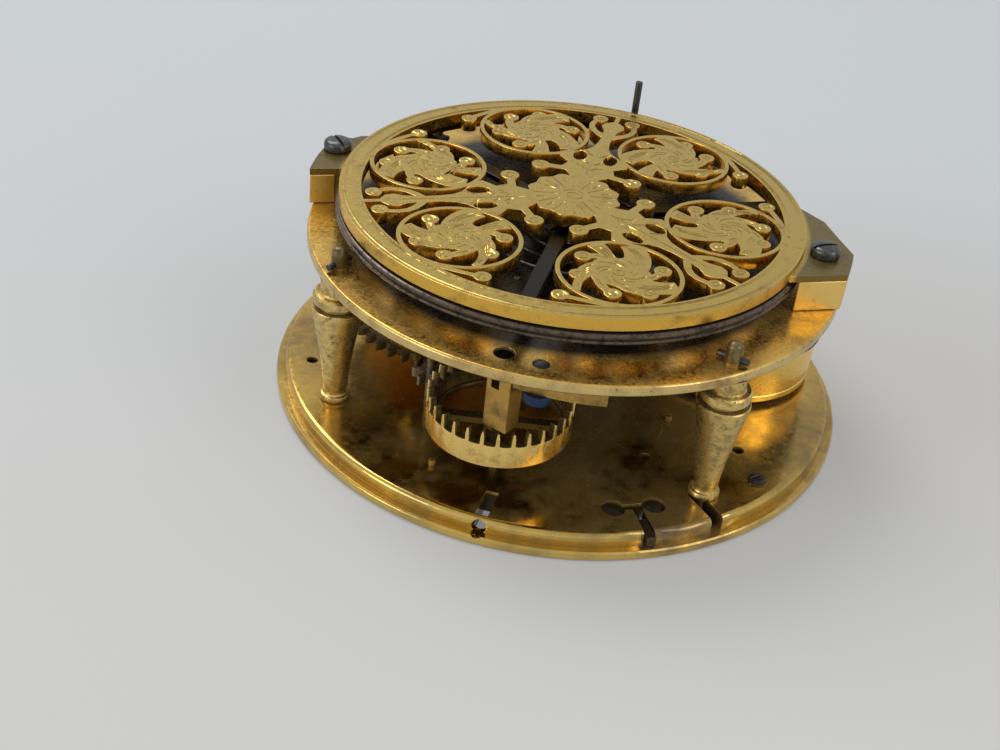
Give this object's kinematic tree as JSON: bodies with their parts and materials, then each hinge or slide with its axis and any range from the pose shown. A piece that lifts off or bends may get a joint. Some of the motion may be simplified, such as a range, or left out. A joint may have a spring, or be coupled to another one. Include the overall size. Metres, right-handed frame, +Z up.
{
  "type": "pocket watch movement",
  "caption": "Gilt-brass verge fusee watch movement between two plates, with turned pillars, a pierced scrollwork balance bridge, a contrate wheel, a chain and a barrel.",
  "frame": {"origin": "centre of the pillar plate's lower face, which faces the dial", "axes": "+Z up from the pillar plate to the balance bridge, -Y towards the side with the contrate wheel"},
  "size_m": [0.042, 0.042, 0.0174],
  "materials": {
    "gilt": "gilt, worn",
    "brass": "plain, tarnished",
    "steel": "polished",
    "dark_steel": "dark, polished",
    "blued": "blued"
  },
  "bodies": {
    "frame": {"pillar_plate": "gilt", "pillars": "gilt", "pillar_pins": "steel", "top_plate": "gilt", "balance_bridge": "gilt", "bridge_feet": "gilt", "bridge_screws": "dark_steel", "balance_spring": "steel", "spring_stud": "brass", "potence": "brass", "potence_screw": "steel", "counter_potence": "gilt", "counter_screw": "blued", "chain_strand": "dark_steel", "barrel_arbor": "steel", "setup_ratchet": "steel", "click_screw": "steel", "stop_block": "brass", "plate_screw": "steel", "plate_pins": "brass", "banking_post": "dark_steel"},
    "balance": {"balance_wheel": "dark_steel", "verge_staff": "steel", "spring_collet": "brass"},
    "escape": {"escape_wheel": "brass", "escape_arbor": "steel"},
    "contrate": {"contrate_wheel": "gilt", "contrate_arbor": "steel"},
    "third": {"third_wheel": "brass", "third_arbor": "steel"},
    "second": {"second_wheel": "brass", "second_arbor": "steel"},
    "fusee": {"great_wheel": "brass", "fusee_cone": "brass", "fusee_arbor": "steel", "fusee_cap": "steel", "chain_on_fusee": "dark_steel"},
    "barrel": {"barrel_drum": "gilt", "barrel_lid": "gilt", "mainspring": "steel", "chain_on_barrel": "dark_steel"},
    "click": {"setup_click": "steel"},
    "stop": {"stop_lever": "steel"},
    "latch": {"case_latch": "dark_steel"}
  },
  "joints": [
    {"name": "contrate_turn", "type": "hinge", "parent": "frame", "child": "contrate", "pos_m": [-0.00397, -0.01256, 0.006], "axis": [0, 0, 1], "continuous": true},
    {"name": "third_turn", "type": "hinge", "parent": "frame", "child": "third", "pos_m": [-0.00385, -0.00706, 0.006], "axis": [0, 0, 1], "continuous": true},
    {"name": "second_turn", "type": "hinge", "parent": "frame", "child": "second", "pos_m": [-0.00908, -0.0078, 0.006], "axis": [0, 0, 1], "continuous": true},
    {"name": "fusee_turn", "type": "hinge", "parent": "frame", "child": "fusee", "pos_m": [-0.00839, 0.00045, 0.006], "axis": [0, 0, 1], "continuous": true},
    {"name": "escape_turn", "type": "hinge", "parent": "frame", "child": "escape", "pos_m": [-0.0005, 0, 0.00737], "axis": [-0.1994, -0.9799, 0], "continuous": true},
    {"name": "barrel_turn", "type": "hinge", "parent": "frame", "child": "barrel", "pos_m": [0.0126, 0.0027, 0.006], "axis": [0, 0, 1], "continuous": true},
    {"name": "balance_swing", "type": "hinge", "parent": "frame", "child": "balance", "pos_m": [-0.0005, 0, 0.0139], "axis": [0, 0, 1], "range_deg": [-100, 100], "stiffness_Nm_per_rad": 0.000002},
    {"name": "click_lift", "type": "hinge", "parent": "frame", "child": "click", "pos_m": [0.00567, -0.0013, 0.011], "axis": [0, 0, 1], "range_deg": [0, 10]},
    {"name": "stop_lift", "type": "hinge", "parent": "frame", "child": "stop", "pos_m": [-0.01476, 0.00216, 0.0101], "axis": [-0.2588, -0.9659, 0], "range_deg": [0, 8]},
    {"name": "latch_slide", "type": "slide", "parent": "frame", "child": "latch", "axis": [-0.3223, 0.9466, 0], "range_m": [0, 0.0005]}
  ],
  "couplings": [
    {"joint": "third_turn", "follows": "contrate_turn", "ratio": -0.19048},
    {"joint": "second_turn", "follows": "contrate_turn", "ratio": 0.038095},
    {"joint": "fusee_turn", "follows": "contrate_turn", "ratio": -0.0057143},
    {"joint": "barrel_turn", "follows": "contrate_turn", "ratio": -0.0040061},
    {"joint": "escape_turn", "follows": "contrate_turn", "ratio": -5}
  ]
}
